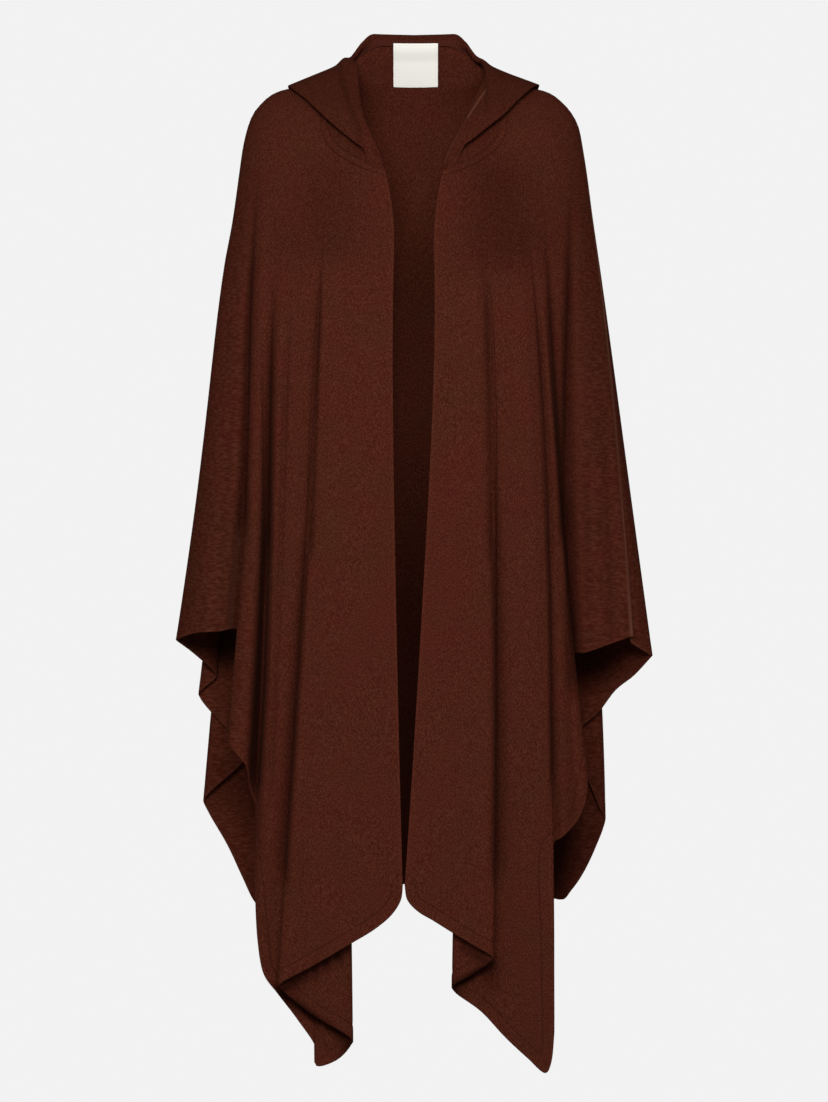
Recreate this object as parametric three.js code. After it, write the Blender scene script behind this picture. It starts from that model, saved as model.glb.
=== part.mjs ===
// Hooded open-front poncho in brushed wool, worn, with the hood down and no wearer inside.
// Millimetres, +Z up, the front faces -Y and the wearer's left is +X.
// The origin is the middle of the neck at the height of the shoulder line, where the wearer carries it.
import * as THREE from "three";

// ---- driving dimensions -------------------------------------------------------------------------

const CLOTH = 2; // wall of brushed knit
const TAPE = 1; // neck tape
const LABEL_CLOTH = 0.8; // woven label
const SEAM = 0.3; // gap between two sewn pieces
const SHOULDER_Y = 10; // the shoulder line lies this far behind the middle of the neck
const CREST_Z = -8; // the shoulder line where it meets the neckline
const YOKE_Z = -240; // below this height the cloth hangs free in folds
const FRONT_FALL = 0.38; // how the chest rounds away towards the arm, half an ellipse's 0.5
const SWING_POWER = 4; // how fast a fold leaves the yoke's slope for its own
const NECK_TAPE = { reach: 0.5, share: 0.85 }; // of the back neckline, and of the hood's stand
const LABEL = { wide: 57.5, high: 54, middle: 2.2, top: 45, tapeEnd: 0.4 };

const COARSE_YOKE = [0, 0.14, 0.3, 0.47, 0.64, 0.82, 1];
const COARSE_DROP = [0.07, 0.17, 0.3, 0.45, 0.6, 0.75, 0.89, 1];

// A table keeps one row for each section or fold, with its columns named in the first line.
const table = (columns, ...rows) =>
  rows.map((row) => Object.fromEntries(columns.map((column, i) => [column, row[i]])));

// Level sections of the yoke: half-widths of the wearer's right and left side, how far the cloth
// stands before and behind the shoulder line, and how fast the back rounds away towards the arm.
const YOKE_SECTIONS = table(
  ["z", "right", "left", "front", "back", "backFall"],
  [-240, 241, 236, 134, 112, 0.74],
  [-192, 232, 229, 130, 110, 0.8],
  [-128, 223, 220.5, 116, 104, 0.9],
  [-100, 219, 216, 104, 100, 1.0],
  [-74, 213, 211, 88, 96, 1.15],
  [-56, 206, 202, 74, 93, 1.3],
  [-42, 195, 190, 60, 90, 1.4],
  [-30, 180, 174, 44, 87, 1.4],
  [-22, 150, 146, 30, 85, 1.3],
  [-8, 98, 98, 6, 81, 0.65],
  [8, 99, 99, 6, 75, 0.5],
  [42, 100, 100, 6, 64, 0.4],
);

// The neckline seam, from the front edge up to the shoulder line, then from the nape to the shoulder.
const NECK_FRONT = table(
  ["x", "z"],
  [37, -139],
  [56, -132],
  [78, -121],
  [98, -104],
  [107, -84],
  [108, -58],
  [104, -30],
  [98, CREST_Z],
);
const NECK_BACK = table(["x", "z"], [0, 42], [40, 41], [60, 34], [78, 19], [91, 4], [98, CREST_Z]);

// Fold lines of the front panels, from the front edge out to the arm. top is the distance from the
// middle where the line leaves the yoke; out, fore and drop place its lower end, outward, along Y and
// downward; bow is how far it curves outward half way.
const FOLD_COLUMNS = ["line", "top", "out", "fore", "drop", "bow"];
const FRONT_RIGHT = table(
  FOLD_COLUMNS,
  ["front edge", 25, 14, -134, 1030, 3],
  ["hem corner", 27.5, 16, -134, 1046, 3],
  ["hem corner end", 34, 27, -135, 1064, 2],
  ["flap 1", 47, 48, -136, 1082, 1],
  ["flap 2", 65, 76, -137, 1099, 1],
  ["flap 3", 90, 124, -139, 1127, 1],
  ["fold edge", 109, 166, -142, 1150, 0],
  ["fold back", 110.2, 166, -134, 1155, 0],
  ["under layer", 111.4, 128, -123, 1189, 10],
  ["under fold", 112.6, 78, -109, 1223, -7],
  ["under fold back", 114, 79, -101, 1232, -7],
  ["lower layer", 118, 96, -99, 1250, -3],
  ["corner", 124, 122, -101, 1257, 2],
  ["corner return", 128, 122, -98, 1237, 6],
  ["selvedge 1", 135, 145, -101, 1200, 2],
  ["selvedge 2", 143, 170, -107, 1166, 0],
  ["selvedge 3", 151, 187, -109, 1142, -2],
  ["selvedge 4", 158, 194, -107, 1104, -4],
  ["selvedge 5", 166, 198, -94, 1010, -6],
  ["valley", 175, 199, -70, 936, -6],
  ["ridge foot", 181, 205, -82, 915, -7],
  ["ridge", 187, 210, -106, 882, -8],
  ["ridge side", 192, 226, -104, 862, -8],
  ["ridge edge", 196, 233, -95, 840, -8],
  ["ridge return", 199, 223, -60, 780, -7],
  ["sleeve valley", 203, 221, -48, 716, -6],
  ["sleeve 1", 212, 248, -61, 717, -5],
  ["sleeve 2", 225, 275, -46, 719, -4],
  ["sleeve 3", 236, 297, -16, 726, -3],
  ["arm", 241, 304, 0, 730, -3],
);
const FRONT_LEFT = table(
  FOLD_COLUMNS,
  ["front edge", 25, -11.5, -134, 1030, 5],
  ["hem corner", 27.5, -8.5, -134, 1046, 5],
  ["hem corner end", 34, 4, -135, 1060, 5],
  ["flap 1", 44, 24, -136, 1072, 5],
  ["flap 2", 58, 50, -138, 1088, 6],
  ["flap 3", 74, 74, -141, 1102, 7],
  ["fold edge", 87.5, 96, -144, 1115, 7],
  ["fold back", 88.7, 96, -136, 1121, 7],
  ["under layer", 89.9, 71, -125, 1141, 14],
  ["under fold", 91.1, 49, -118, 1155, -8],
  ["under fold back", 92.5, 50, -110, 1163, -8],
  ["lower layer 1", 98, 83, -107, 1188, 2],
  ["lower layer 2", 109, 114, -107, 1221, 8],
  ["lower layer 3", 120, 141, -108, 1246, 8],
  ["corner", 130, 164, -108, 1265, 9],
  ["corner return", 134, 171, -107, 1252, 10],
  ["selvedge 1", 138, 172, -105, 1120, 10],
  ["selvedge 2", 141, 172.5, -102, 981, 10],
  ["shallow valley", 145, 186, -88, 973, 8],
  ["ridge", 152, 206, -101, 948, 4],
  ["ridge side", 158, 214.5, -99, 922, -3],
  ["ridge edge", 162, 216, -90, 888, -6],
  ["ridge return", 173, 205, -54, 802, -5],
  ["sleeve valley", 190, 200, -42, 748, 0],
  ["sleeve 1", 199, 218, -59, 743, 0],
  ["sleeve 2", 214, 248, -50, 733, 1],
  ["sleeve fold", 227.5, 278, -35, 724, 3],
  ["sleeve fold back", 229.5, 276, -24, 731, 3],
  ["sleeve 3", 233, 290, -14, 741, 1],
  ["arm", 236, 304.5, 0, 750, 0],
);

// Fold lines of the back, from the middle out to each arm.
const BACK_RIGHT = table(
  FOLD_COLUMNS,
  ["middle", 0, 0, 117, 1054, 0],
  ["ridge 1", 34, 40, 124, 1056, 0],
  ["valley 1", 66, 82, 109, 1061, 0],
  ["ridge 2", 96, 124, 122, 1070, 0],
  ["valley 2", 122, 164, 110, 1082, 0],
  ["corner", 142, 200, 116, 1087, 2],
  ["corner end", 152, 211, 115, 1076, 4],
  ["lower edge 1", 166, 226, 113, 1045, 6],
  ["lower edge 2", 178, 246, 112, 1002, 8],
  ["lower edge 3", 190, 270, 110, 960, 5],
  ["outer fold", 198, 276, 103, 944, 4],
  ["outer fold back", 202, 270, 94, 934, 4],
  ["inner fold", 206, 218, 86, 884, 4],
  ["inner fold back", 210, 219, 78, 872, 4],
  ["middle layer", 214, 250, 80, 842, 6],
  ["sleeve fold", 219, 280, 80, 806, -2],
  ["sleeve fold back", 222, 278, 71, 798, -2],
  ["sleeve inner fold", 226, 258, 66, 780, -2],
  ["sleeve inner back", 229, 260, 56, 772, -2],
  ["sleeve", 236, 285, 34, 747, -3],
  ["arm", 241, 304, 0, 730, -3],
);
const BACK_LEFT = table(
  FOLD_COLUMNS,
  ["middle", 0, 0, 117, 1054, 0],
  ["ridge 1", 38, 44, 123, 1055, 0],
  ["valley 1", 72, 88, 110, 1058, 0],
  ["ridge 2", 102, 130, 121, 1064, 0],
  ["valley 2", 124, 168, 111, 1068, 0],
  ["corner", 140, 197, 115, 1074, 2],
  ["corner end", 150, 206, 115, 1064, 5],
  ["lower edge 1", 162, 221, 114, 1043, 8],
  ["lower edge 2", 172, 239, 112, 1006, 11],
  ["outer fold", 182, 251, 106, 968, 14],
  ["outer fold back", 186, 243, 96, 951, 14],
  ["inner fold", 194, 212, 88, 868, 6],
  ["inner fold back", 199, 213, 79, 852, 4],
  ["sleeve 1", 210, 241, 72, 825, 4],
  ["sleeve 2", 220, 262, 58, 796, 3],
  ["sleeve 3", 230, 284, 34, 776, 1],
  ["arm", 236, 304.5, 0, 750, 0],
);

// Stations of the hood, from the front edge over the shoulder to the nape. at runs 0 to 1 along the
// front neckline and 1 to 2 along the back one; roll is where the cloth turns outward, edge is the
// hem of the face opening, and base is the lowest turn of the bag that hangs behind.
const HOOD_COLUMNS = ["at", "rollX", "rollY", "rollZ", "edgeX", "edgeY", "edgeZ"];
const HOOD_FRONT_RIGHT = table(
  HOOD_COLUMNS,
  [0, 38.5, -109, -132, 43, -114, -130],
  [0.15, 45, -107, -116, 56, -113, -118],
  [0.3, 54, -100, -96, 72, -108, -107],
  [0.45, 63, -88, -76, 92, -96, -90],
  [0.6, 68, -70, -55, 113, -82, -70],
  [0.75, 71, -40, -28, 137, -53, -44],
  [0.9, 74, -2, 4, 154, -27, -28],
  [1, 82, 21, 12, 161, 6, -20],
);
const HOOD_FRONT_LEFT = table(
  HOOD_COLUMNS,
  [0, 37.5, -109, -132, 42, -114, -130],
  [0.15, 43, -107, -117, 53, -113, -116],
  [0.3, 52, -100, -99, 72, -107, -103],
  [0.45, 61, -88, -82, 89, -96, -88],
  [0.6, 70, -72, -63, 111, -81, -69],
  [0.75, 81, -47, -37, 134, -53, -43],
  [0.9, 92, -13, -10, 151, -28, -26],
  [1, 90, 18, 6, 160, 6, -19],
);
const HOOD_BACK = table(
  [...HOOD_COLUMNS, "baseX", "baseY", "baseZ"],
  [1.25, 77, 43, 24, 156, 52, -23, 150, 58, -54],
  [1.5, 66, 57, 42.5, 126, 104, -22, 118, 104, -128],
  [1.75, 50, 69, 54, 72, 146, -26, 66, 138, -206],
  [2, 0, 77, 54, 0, 160, -34, 0, 147, -240],
);
const HOOD = {
  turn: 7, // thickness of the roll, wall middle to wall middle
  shares: [0.15, 0.35, 0.58, 0.8], // places of the bag's points between roll and edge
  swell: 5, // rise of that cloth between roll and edge, half way along the front neckline
  clear: 8, // room between the bag and the back
  over: 0.2, // where the bag passes the neckline, on its way from the roll to the base
  belly: 16, // how far the bag's outer side swells
  centre: { y: 10, z: -60 }, // the roll thickens away from this line through the neck
  gap: 0.8, // from the panels' edge to the hood's
  stand: 3, // the hood goes on straight from the seam for this much
  step: 0.012, // shortest step between two stations
};

// ---- curves -------------------------------------------------------------------------------------

const RIGHT = -1;
const LEFT = 1;
const vec = (x, y, z) => new THREE.Vector3(x, y, z);
const mix = (a, b, share) => a + (b - a) * share;

// The value of one column at a place on a table, on a cubic that never overshoots its rows.
function column(rows, by, place, name) {
  const up = rows[0][by] < rows[rows.length - 1][by] ? rows : [...rows].reverse();
  const last = up.length - 1;
  const at = Math.min(Math.max(place, up[0][by]), up[last][by]);
  let i = 0;
  while (i < last - 1 && at > up[i + 1][by]) i += 1;
  const rise = (k) => (up[k + 1][name] - up[k][name]) / (up[k + 1][by] - up[k][by]);
  const slope = (k) => {
    if (k === 0) return rise(0);
    if (k === last) return rise(last - 1);
    const before = rise(k - 1);
    const after = rise(k);
    return before * after <= 0 ? 0 : (2 * before * after) / (before + after);
  };
  const span = up[i + 1][by] - up[i][by];
  const s = (at - up[i][by]) / span;
  const hermite = [2 * s ** 3 - 3 * s ** 2 + 1, s ** 3 - 2 * s ** 2 + s, 3 * s ** 2 - 2 * s ** 3, s ** 3 - s ** 2];
  return (
    hermite[0] * up[i][name] +
    hermite[1] * span * slope(i) +
    hermite[2] * up[i + 1][name] +
    hermite[3] * span * slope(i + 1)
  );
}

const halfWidth = (side, z) => column(YOKE_SECTIONS, "z", z, side === RIGHT ? "right" : "left");

// A point on the smooth yoke: share is its place from the middle, 0, to the shoulder line, 1.
function onYoke(side, face, share, z) {
  const fall = face === "front" ? FRONT_FALL : column(YOKE_SECTIONS, "z", z, "backFall");
  const depth = column(YOKE_SECTIONS, "z", z, face);
  const fullness = Math.max(0, 1 - share ** 2) ** fall;
  const way = face === "front" ? -1 : 1;
  return vec(side * share * halfWidth(side, z), SHOULDER_Y + way * depth * fullness, z);
}

// How much of the drop from the neck to the yoke's end the shoulder line has made at a share of its length.
const shoulderDrops = new Map();
function shoulderDrop(side, share) {
  if (!shoulderDrops.has(side)) {
    const steps = 80;
    const walked = [{ length: 0, z: CREST_Z }];
    for (let i = 1; i <= steps; i += 1) {
      const before = walked[i - 1];
      const z = mix(CREST_Z, YOKE_Z, (i / steps) ** 2);
      const outward = halfWidth(side, z) - halfWidth(side, before.z);
      walked.push({ length: before.length + Math.hypot(outward, z - before.z), z });
    }
    shoulderDrops.set(side, walked);
  }
  const walked = shoulderDrops.get(side);
  const z = column(walked, "length", share * walked[walked.length - 1].length, "z");
  return (z - CREST_Z) / (YOKE_Z - CREST_Z);
}

// A point of the neckline seam, place 0 at the front edge or the nape and 1 at the shoulder line.
function neckline(side, face, place) {
  const rows = face === "front" ? NECK_FRONT : NECK_BACK;
  const numbered = rows.map((row, i) => ({ ...row, i: i / (rows.length - 1) }));
  const z = column(numbered, "i", place, "z");
  const share = Math.min(1, column(numbered, "i", place, "x") / halfWidth(side, z));
  return { z, share, point: onYoke(side, face, share, z) };
}

// A point of a fold line: 0 at the neckline, 1 where it leaves the yoke, 2 at its lower end.
function onFold(side, face, rows, row, place) {
  const inner = rows[0].top;
  const outer = rows[rows.length - 1].top;
  const along = (row.top - inner) / (outer - inner);
  const start = neckline(side, face, along);
  const endShare = Math.min(1, row.top / outer);
  const yokePoint = (s) => {
    const drop = mix(s, shoulderDrop(side, s), along ** 2);
    const share = mix(start.share, endShare, 1 - (1 - s) ** 2);
    return onYoke(side, face, share, mix(start.z, YOKE_Z, drop));
  };
  if (place <= 1) return yokePoint(place);
  const s = place - 1;
  const top = yokePoint(1);
  const chord = vec(side * row.out, row.fore, -row.drop).sub(top);
  const slope = top.clone().sub(yokePoint(0.97)).setLength(chord.length()).sub(chord);
  return top
    .addScaledVector(chord, s)
    .addScaledVector(slope, s * (1 - s) ** SWING_POWER)
    .add(vec(side * row.bow * 4 * s * (1 - s), 0, 0));
}

// ---- cloth walls --------------------------------------------------------------------------------

// The middle surface's normal at each point of a grid of rows and columns.
function gridNormals(grid) {
  const clamp = (i, most) => Math.min(Math.max(i, 0), most);
  return grid.map((line, r) =>
    line.map((_, c) => {
      const lastRow = grid.length - 1;
      const lastColumn = line.length - 1;
      const down = grid[clamp(r + 1, lastRow)][c].clone().sub(grid[clamp(r - 1, lastRow)][c]);
      const before = line[c].clone().sub(line[clamp(c - 1, lastColumn)]);
      const after = line[clamp(c + 1, lastColumn)].clone().sub(line[c]);
      const across = before.normalize().add(after.normalize());
      return across.cross(down).normalize();
    }),
  );
}

// A closed wall of even thickness on both sides of a grid of points.
function wallGeometry(grid, thickness, normals = gridNormals(grid)) {
  const rows = grid.length;
  const columns = grid[0].length;
  const positions = [];
  for (const way of [1, -1])
    grid.forEach((line, r) =>
      line.forEach((point, c) => {
        const moved = point.clone().addScaledVector(normals[r][c], (way * thickness) / 2);
        positions.push(moved.x, moved.y, moved.z);
      }),
    );
  const at = (layer, r, c) => layer * rows * columns + r * columns + c;
  const index = [];
  const quad = (a, b, c, d) => index.push(a, b, c, a, c, d);
  for (let r = 0; r < rows - 1; r += 1)
    for (let c = 0; c < columns - 1; c += 1) {
      quad(at(0, r, c), at(0, r + 1, c), at(0, r + 1, c + 1), at(0, r, c + 1));
      quad(at(1, r, c), at(1, r, c + 1), at(1, r + 1, c + 1), at(1, r + 1, c));
    }
  for (let c = 0; c < columns - 1; c += 1) {
    quad(at(0, 0, c), at(0, 0, c + 1), at(1, 0, c + 1), at(1, 0, c));
    quad(at(0, rows - 1, c + 1), at(0, rows - 1, c), at(1, rows - 1, c), at(1, rows - 1, c + 1));
  }
  for (let r = 0; r < rows - 1; r += 1) {
    quad(at(0, r, 0), at(1, r, 0), at(1, r + 1, 0), at(0, r + 1, 0));
    quad(at(0, r, columns - 1), at(0, r + 1, columns - 1), at(1, r + 1, columns - 1), at(1, r, columns - 1));
  }
  if (signedVolume(positions, index) < 0)
    for (let i = 0; i < index.length; i += 3) [index[i + 1], index[i + 2]] = [index[i + 2], index[i + 1]];
  const geometry = new THREE.BufferGeometry();
  geometry.setAttribute("position", new THREE.Float32BufferAttribute(positions, 3));
  geometry.setIndex(index);
  geometry.computeVertexNormals();
  return geometry;
}

function signedVolume(positions, index) {
  const corner = (i) => vec(positions[3 * i], positions[3 * i + 1], positions[3 * i + 2]);
  let volume = 0;
  for (let i = 0; i < index.length; i += 3)
    volume += corner(index[i]).dot(corner(index[i + 1]).cross(corner(index[i + 2]))) / 6;
  return volume;
}

// The end of a panel at the shoulder line: its edge is squared off there and stops half a seam short.
function squareAtShoulder(grid, normals, columnIndex, face) {
  const back = face === "front" ? -SEAM / 2 : SEAM / 2;
  grid.forEach((line, r) => {
    line[columnIndex].y += back;
    normals[r][columnIndex].setY(0).normalize();
  });
}

// ---- pieces -------------------------------------------------------------------------------------

const PLACES = [...COARSE_YOKE, ...COARSE_DROP.map((place) => 1 + place)];

function frontPanel(side, rows) {
  const grid = PLACES.map((place) => rows.map((row) => onFold(side, "front", rows, row, place)));
  const normals = gridNormals(grid);
  squareAtShoulder(grid, normals, rows.length - 1, "front");
  return { grid, normals };
}

function backPanel() {
  const outward = (rows) => rows.slice(1);
  const grid = PLACES.map((place) => [
    ...outward(BACK_RIGHT)
      .reverse()
      .map((row) => onFold(RIGHT, "back", BACK_RIGHT, row, place)),
    onFold(LEFT, "back", BACK_LEFT, BACK_LEFT[0], place),
    ...outward(BACK_LEFT).map((row) => onFold(LEFT, "back", BACK_LEFT, row, place)),
  ]);
  const normals = gridNormals(grid);
  squareAtShoulder(grid, normals, 0, "back");
  squareAtShoulder(grid, normals, grid[0].length - 1, "back");
  return { grid, normals };
}

// The points of the neckline that the hood is sewn to, from the front edge to the nape: each with its
// place, the panel's point, its normal and the way out of the panel's edge.
function hoodSeam(side, frontRows, front, backRows, back) {
  const points = [];
  let kept = -Infinity;
  const read = (rows, panel, columnOf, placeOf, facing) =>
    rows.forEach((row, i) => {
      const c = columnOf(i);
      const top = panel.grid[0][c];
      const along = (row.top - rows[0].top) / (rows[rows.length - 1].top - rows[0].top);
      points.push({
        at: placeOf(along),
        point: top.clone(),
        normal: panel.normals[0][c].clone().multiplyScalar(facing),
        out: top.clone().sub(panel.grid[1][c]).normalize(),
      });
    });
  const middle = BACK_RIGHT.length - 1;
  read(frontRows, front, (i) => i, (along) => along, 1);
  read(backRows, back, (i) => middle + side * i, (along) => 2 - along, -side);
  points.sort((a, b) => a.at - b.at);
  const shoulder = points.filter(({ at }) => at === 1)[0];
  return points.filter((entry) => {
    const apart = entry === shoulder || entry.at === 2 || (entry.at !== 1 && entry.at - kept > HOOD.step);
    if (apart) kept = entry.at;
    return apart;
  });
}

// The hood's profile at one station: seam, roll, bag and face edge.
function hoodProfile(side, front, at) {
  const stations = [...front, ...HOOD_BACK];
  const read = (name) => column(stations, "at", at, name);
  const roll = vec(side * read("rollX"), read("rollY"), read("rollZ"));
  const edge = vec(side * read("edgeX"), read("edgeY"), read("edgeZ"));
  const outward = vec(0, roll.y - HOOD.centre.y, roll.z - HOOD.centre.z).setLength(HOOD.turn / 2);
  const rollIn = roll.clone().sub(outward);
  const rollOut = roll.clone().add(outward);
  const bag = HOOD.shares.map((share) => {
    const point = rollOut.clone().lerp(edge, share);
    return point.setZ(point.z + HOOD.swell * 4 * share * (1 - share) * 4 * at * Math.max(0, 1 - at));
  });
  const behind = Math.max(0, at - 1);
  if (behind > 0) {
    const rowsBehind = [{ at: 1, baseX: Math.abs(bag[2].x), baseY: bag[2].y, baseZ: bag[2].z }, ...HOOD_BACK];
    const readBase = (name) => column(rowsBehind, "at", at, name);
    const base = vec(side * readBase("baseX"), readBase("baseY"), readBase("baseZ"));
    const clearOfBack = (point) => {
      const cloth = onYoke(side, "back", Math.min(1, Math.abs(point.x) / halfWidth(side, point.z)), point.z);
      return point.setY(Math.max(point.y, mix(point.y, cloth.y + HOOD.clear, Math.min(1, behind * 4))));
    };
    const over = clearOfBack(rollOut.clone().lerp(base, HOOD.over));
    const inner = clearOfBack(rollOut.clone().lerp(base, 0.5));
    const outer = base.clone().lerp(edge, 0.5);
    outer.setY(outer.y + HOOD.belly * behind);
    const whole = Math.min(1, behind * 4);
    [over, inner, base, outer].forEach((point, i) => bag[i].lerp(point, whole));
  }
  return [rollIn, rollOut, ...bag, edge];
}

function hoodHalf(side, front, seam) {
  const grid = seam.map(({ at, point, out }) => [
    point.clone().addScaledVector(out, HOOD.gap),
    point.clone().addScaledVector(out, HOOD.stand),
    ...hoodProfile(side, front, at),
  ]);
  const normals = gridNormals(grid);
  seam.forEach(({ normal }, i) => normals[i][0].copy(normal));
  grid[grid.length - 1].forEach((point, c) => {
    point.x = (side * SEAM) / 2;
    normals[grid.length - 1][c].setX(0).normalize();
  });
  return { grid, normals };
}

// The tape lies inside the nape, on the hood's stand: it is made from the hood's points, moved in.
function neckTape(hoodRight, hoodLeft, seamRight, seamLeft) {
  const inside = (hood, seam, way) =>
    hood.grid
      .map((line, i) => ({ line, normal: hood.normals[i], at: seam[i].at }))
      .filter(({ at }) => at >= 2 - NECK_TAPE.reach)
      .map(({ line, normal }) => {
        const points = [line[0], line[1], line[1].clone().lerp(line[2], NECK_TAPE.share)];
        const turned = [normal[0], normal[1], normal[1]];
        const inward = way * (CLOTH / 2 + 2 * SEAM + TAPE / 2);
        return points.map((point, k) => point.clone().addScaledVector(turned[k], inward));
      });
  const right = inside(hoodRight, seamRight, RIGHT);
  const left = inside(hoodLeft, seamLeft, LEFT);
  return [...right, ...left.reverse().slice(1)];
}

// The depth of a panel's faceted middle surface behind a place seen from the front.
function depthOn(grid, x, z) {
  const facets = [];
  for (let r = 0; r < grid.length - 1; r += 1)
    for (let c = 0; c < grid[0].length - 1; c += 1) {
      facets.push([grid[r][c], grid[r + 1][c], grid[r + 1][c + 1]]);
      facets.push([grid[r][c], grid[r + 1][c + 1], grid[r][c + 1]]);
    }
  const target = new THREE.Vector2(x, z);
  for (const facet of facets) {
    const [a, b, c] = facet.map((point) => new THREE.Vector2(point.x, point.z).sub(target));
    const [wa, wb, wc] = [b.cross(c), c.cross(a), a.cross(b)];
    const whole = wa + wb + wc;
    if (whole !== 0 && Math.min(wa / whole, wb / whole, wc / whole) >= 0)
      return (wa * facet[0].y + wb * facet[1].y + wc * facet[2].y) / whole;
  }
  return undefined;
}

// The label hangs from the tape, against the inside of the back.
function label(back, tape) {
  const across = [0, 0.25, 0.5, 0.75, 1];
  const down = [0, 0.12, 0.3, 0.5, 0.7, 0.85, 1];
  return down.map((v) =>
    across.map((u) => {
      const x = LABEL.middle + (u - 0.5) * LABEL.wide;
      const z = LABEL.top - v * LABEL.high;
      const onTape = depthOn(tape, x, z);
      if (onTape !== undefined) return vec(x, onTape - TAPE - 2 * SEAM - LABEL_CLOTH / 2, z);
      const overTape = 2.4 * TAPE * Math.min(1, Math.max(0, 2 * (1 - v / LABEL.tapeEnd)));
      return vec(x, depthOn(back, x, z) - CLOTH / 2 - 3 * SEAM - LABEL_CLOTH / 2 - overTape, z);
    }),
  );
}

// ---- the garment --------------------------------------------------------------------------------

const group = new THREE.Group();

function addPiece(name, geometry, color) {
  const material = new THREE.MeshStandardMaterial({ color, roughness: 0.95, metalness: 0 });
  const mesh = new THREE.Mesh(geometry, material);
  mesh.name = name;
  group.add(mesh);
}

const WOOL = 0x45201a;
const WOOL_INSIDE = 0x371812;
const CREAM = 0xf1efe6;

const frontRight = frontPanel(RIGHT, FRONT_RIGHT);
const frontLeft = frontPanel(LEFT, FRONT_LEFT);
const back = backPanel();
const seamRight = hoodSeam(RIGHT, FRONT_RIGHT, frontRight, BACK_RIGHT, back);
const seamLeft = hoodSeam(LEFT, FRONT_LEFT, frontLeft, BACK_LEFT, back);
const hoodRight = hoodHalf(RIGHT, HOOD_FRONT_RIGHT, seamRight);
const hoodLeft = hoodHalf(LEFT, HOOD_FRONT_LEFT, seamLeft);
const tape = neckTape(hoodRight, hoodLeft, seamRight, seamLeft);

addPiece("front_right", wallGeometry(frontRight.grid, CLOTH, frontRight.normals), WOOL);
addPiece("front_left", wallGeometry(frontLeft.grid, CLOTH, frontLeft.normals), WOOL);
addPiece("back", wallGeometry(back.grid, CLOTH, back.normals), WOOL);
addPiece("hood_right", wallGeometry(hoodRight.grid, CLOTH, hoodRight.normals), WOOL);
addPiece("hood_left", wallGeometry(hoodLeft.grid, CLOTH, hoodLeft.normals), WOOL);
addPiece("neck_tape", wallGeometry(tape, TAPE), WOOL_INSIDE);
addPiece("label", wallGeometry(label(back.grid, tape), LABEL_CLOTH), CREAM);

export default group;
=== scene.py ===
# Hooded open-front poncho in brushed wool knit, worn, with the hood down and no wearer inside.
import math

import bpy
import numpy as np
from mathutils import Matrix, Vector


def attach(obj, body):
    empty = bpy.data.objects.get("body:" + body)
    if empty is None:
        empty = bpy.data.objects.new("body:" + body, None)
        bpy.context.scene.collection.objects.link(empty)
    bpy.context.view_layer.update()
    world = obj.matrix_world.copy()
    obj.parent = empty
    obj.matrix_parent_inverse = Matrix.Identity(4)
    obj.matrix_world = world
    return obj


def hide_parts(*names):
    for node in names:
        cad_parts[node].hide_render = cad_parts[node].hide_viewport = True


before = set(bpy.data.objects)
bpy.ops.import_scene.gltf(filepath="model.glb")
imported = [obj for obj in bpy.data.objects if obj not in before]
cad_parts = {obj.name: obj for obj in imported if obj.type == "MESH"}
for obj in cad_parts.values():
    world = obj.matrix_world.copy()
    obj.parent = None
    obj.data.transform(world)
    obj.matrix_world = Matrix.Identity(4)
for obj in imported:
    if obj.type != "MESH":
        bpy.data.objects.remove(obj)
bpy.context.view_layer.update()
bpy.ops.object.select_all(action="DESELECT")


# ---- camera and studio --------------------------------------------------------------------------
# The garment hangs at the height of a standing figure in an even pale surround. One wide soft light
# stands in front and above the middle, the room fills the rest, and a second one stands far behind.

camera_data = bpy.data.cameras.new("camera")
camera_data.lens = 100
camera_data.sensor_width = 36
camera = bpy.data.objects.new("camera", camera_data)
camera.location = (0, -3.92, -0.616)
camera.rotation_euler = (math.radians(90), 0, 0)
bpy.context.scene.collection.objects.link(camera)
bpy.context.scene.camera = camera
bpy.context.scene.view_settings.view_transform = "Standard"

bpy.ops.mesh.primitive_uv_sphere_add(segments=64, ring_count=32, radius=14, location=(0, 0, 0))
surround = bpy.context.object
surround.name = "surround"
bpy.ops.object.shade_smooth()
surround.visible_diffuse = False
surround.visible_glossy = False
surround.visible_shadow = False
bpy.ops.object.select_all(action="DESELECT")

pale = bpy.data.materials.new("pale_surround")
pale.use_nodes = True
pale_surface = pale.node_tree.nodes["Principled BSDF"]
pale_surface.inputs["Base Color"].default_value = (0, 0, 0, 1)
pale_surface.inputs["Roughness"].default_value = 1
pale_surface.inputs["Specular IOR Level"].default_value = 0
pale_surface.inputs["Emission Color"].default_value = (0.888, 0.888, 0.888, 1)
pale_surface.inputs["Emission Strength"].default_value = 1
surround.data.materials.append(pale)

room = bpy.data.worlds.new("room")
room.use_nodes = True
room.node_tree.nodes["Background"].inputs["Color"].default_value = (1, 1, 1, 1)
room.node_tree.nodes["Background"].inputs["Strength"].default_value = 0.34
bpy.context.scene.world = room


def soft_light(name, place, towards, size, watts):
    data = bpy.data.lights.new(name, "AREA")
    data.shape = "RECTANGLE"
    data.size, data.size_y = size
    data.energy = watts
    light = bpy.data.objects.new(name, data)
    light.location = place
    light.rotation_euler = (Vector(towards) - Vector(place)).to_track_quat("-Z", "Y").to_euler()
    light.visible_camera = False
    bpy.context.scene.collection.objects.link(light)


soft_light("key", (-0.1, -3.05, 0.34), (0, -0.1, -0.68), (1.2, 0.8), 104)
soft_light("behind", (-1.2, 4.4, -0.1), (0, 0, -0.6), (1.4, 2.0), 190)


# ---- right front panel --------------------------------------------------------------------------
# The wearer's right front: one panel of brushed wool knit, seamed to the back along the shoulder and
# sleeve. Its front edge is plain, its lower edge is turned up 13 mm and stitched, and it falls in
# folds whose lines are the rows of a table.

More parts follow.
